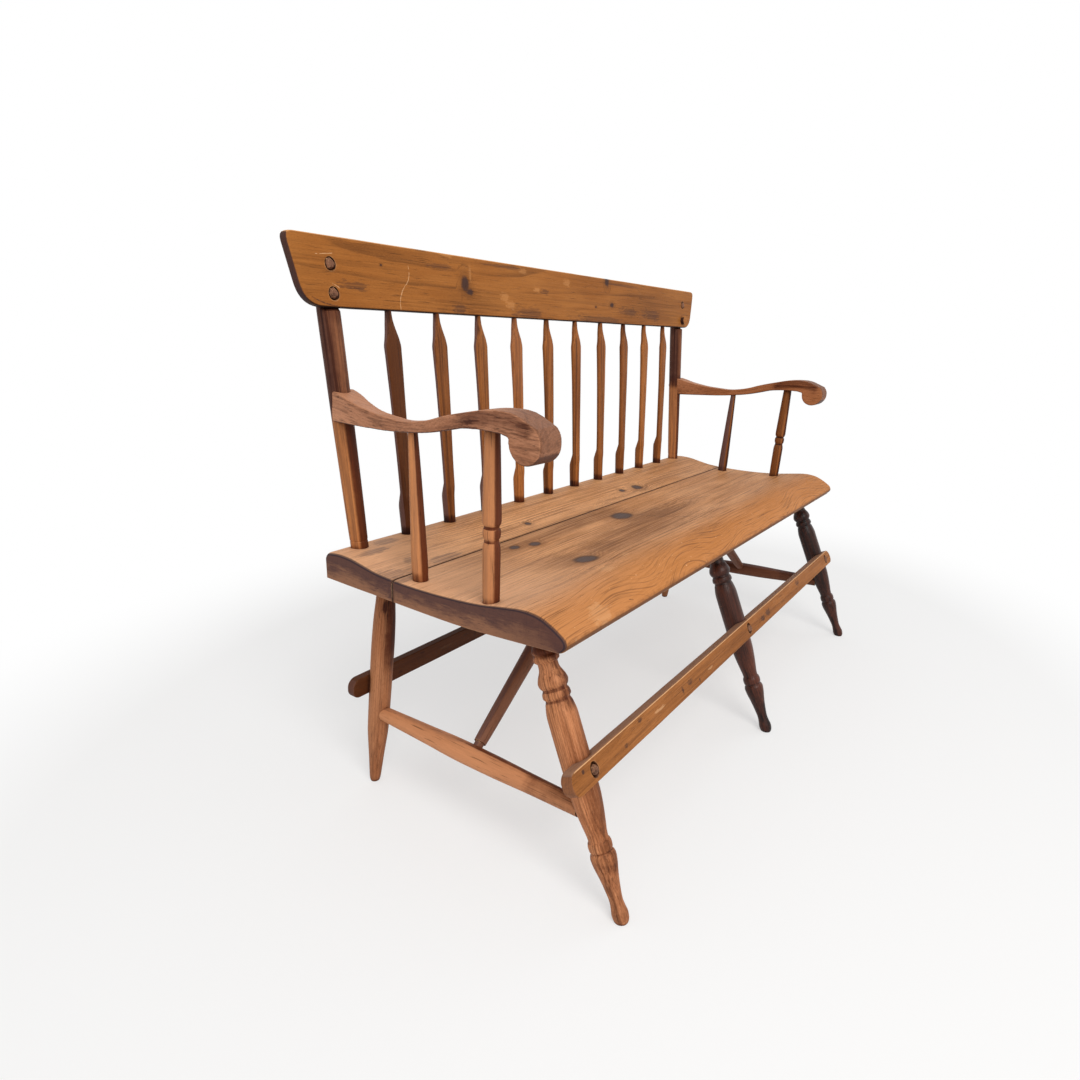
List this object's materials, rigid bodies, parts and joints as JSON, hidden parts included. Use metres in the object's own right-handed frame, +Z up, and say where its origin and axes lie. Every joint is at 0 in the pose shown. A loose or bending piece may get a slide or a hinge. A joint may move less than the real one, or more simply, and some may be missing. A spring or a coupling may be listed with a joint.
{
  "type": "deacons bench",
  "caption": "Long wooden settle bench with a dished plank seat, arrow-spindle back under a flared crest rail, scrolled arms, turned splayed legs and pegged flat stretchers.",
  "frame": {"origin": "on the floor, under the middle of the bounding box seen from above", "axes": "+X along the bench to the sitter's left, which is the right end seen from the front; +Y from the front edge of the seat to the back; +Z up"},
  "size_m": [1.3934, 0.6288, 0.9073],
  "materials": {
    "seat_pine": "worn, softly polished",
    "crest_pine": "worn, oiled",
    "spindle_wood": "worn stain",
    "arm_wood": "handled, softly polished",
    "leg_wood": "worn stain",
    "dark_leg_wood": "dark worn stain",
    "board_wood": "worn, dull",
    "peg_wood": "dark, dull"
  },
  "bodies": {
    "root": {"seat_front_plank": "seat_pine", "seat_rear_plank": "seat_pine", "seat_dowel_1": "peg_wood", "seat_dowel_2": "peg_wood", "seat_dowel_3": "peg_wood", "seat_dowel_4": "peg_wood", "seat_dowel_5": "peg_wood", "front_leg_left": "leg_wood", "front_leg_middle": "dark_leg_wood", "front_leg_right": "dark_leg_wood", "rear_leg_left": "leg_wood", "rear_leg_right": "leg_wood", "front_stretcher_board": "board_wood", "front_board_peg_left": "peg_wood", "front_board_peg_middle": "peg_wood", "front_board_peg_right": "peg_wood", "rear_stretcher_board": "board_wood", "rear_board_peg_left": "peg_wood", "rear_board_peg_right": "peg_wood", "side_stretcher_left": "leg_wood", "brace_left": "leg_wood", "side_stretcher_right": "leg_wood", "brace_right": "leg_wood", "crest_rail": "crest_pine", "crest_peg_left_lower": "peg_wood", "crest_peg_left_upper": "peg_wood", "crest_peg_right_lower": "peg_wood", "crest_peg_right_upper": "peg_wood", "back_post_left": "spindle_wood", "back_post_right": "spindle_wood", "arrow_spindle_01": "spindle_wood", "arrow_spindle_02": "spindle_wood", "arrow_spindle_03": "spindle_wood", "arrow_spindle_04": "spindle_wood", "arrow_spindle_05": "spindle_wood", "arrow_spindle_06": "spindle_wood", "arrow_spindle_07": "spindle_wood", "arrow_spindle_08": "spindle_wood", "arrow_spindle_09": "spindle_wood", "arrow_spindle_10": "spindle_wood", "arm_left": "arm_wood", "arm_pin_left": "peg_wood", "arm_right": "arm_wood", "arm_pin_right": "peg_wood", "arm_post_left": "spindle_wood", "arm_post_right": "spindle_wood", "arm_spindle_left": "spindle_wood", "arm_spindle_right": "spindle_wood"}
  },
  "joints": []
}
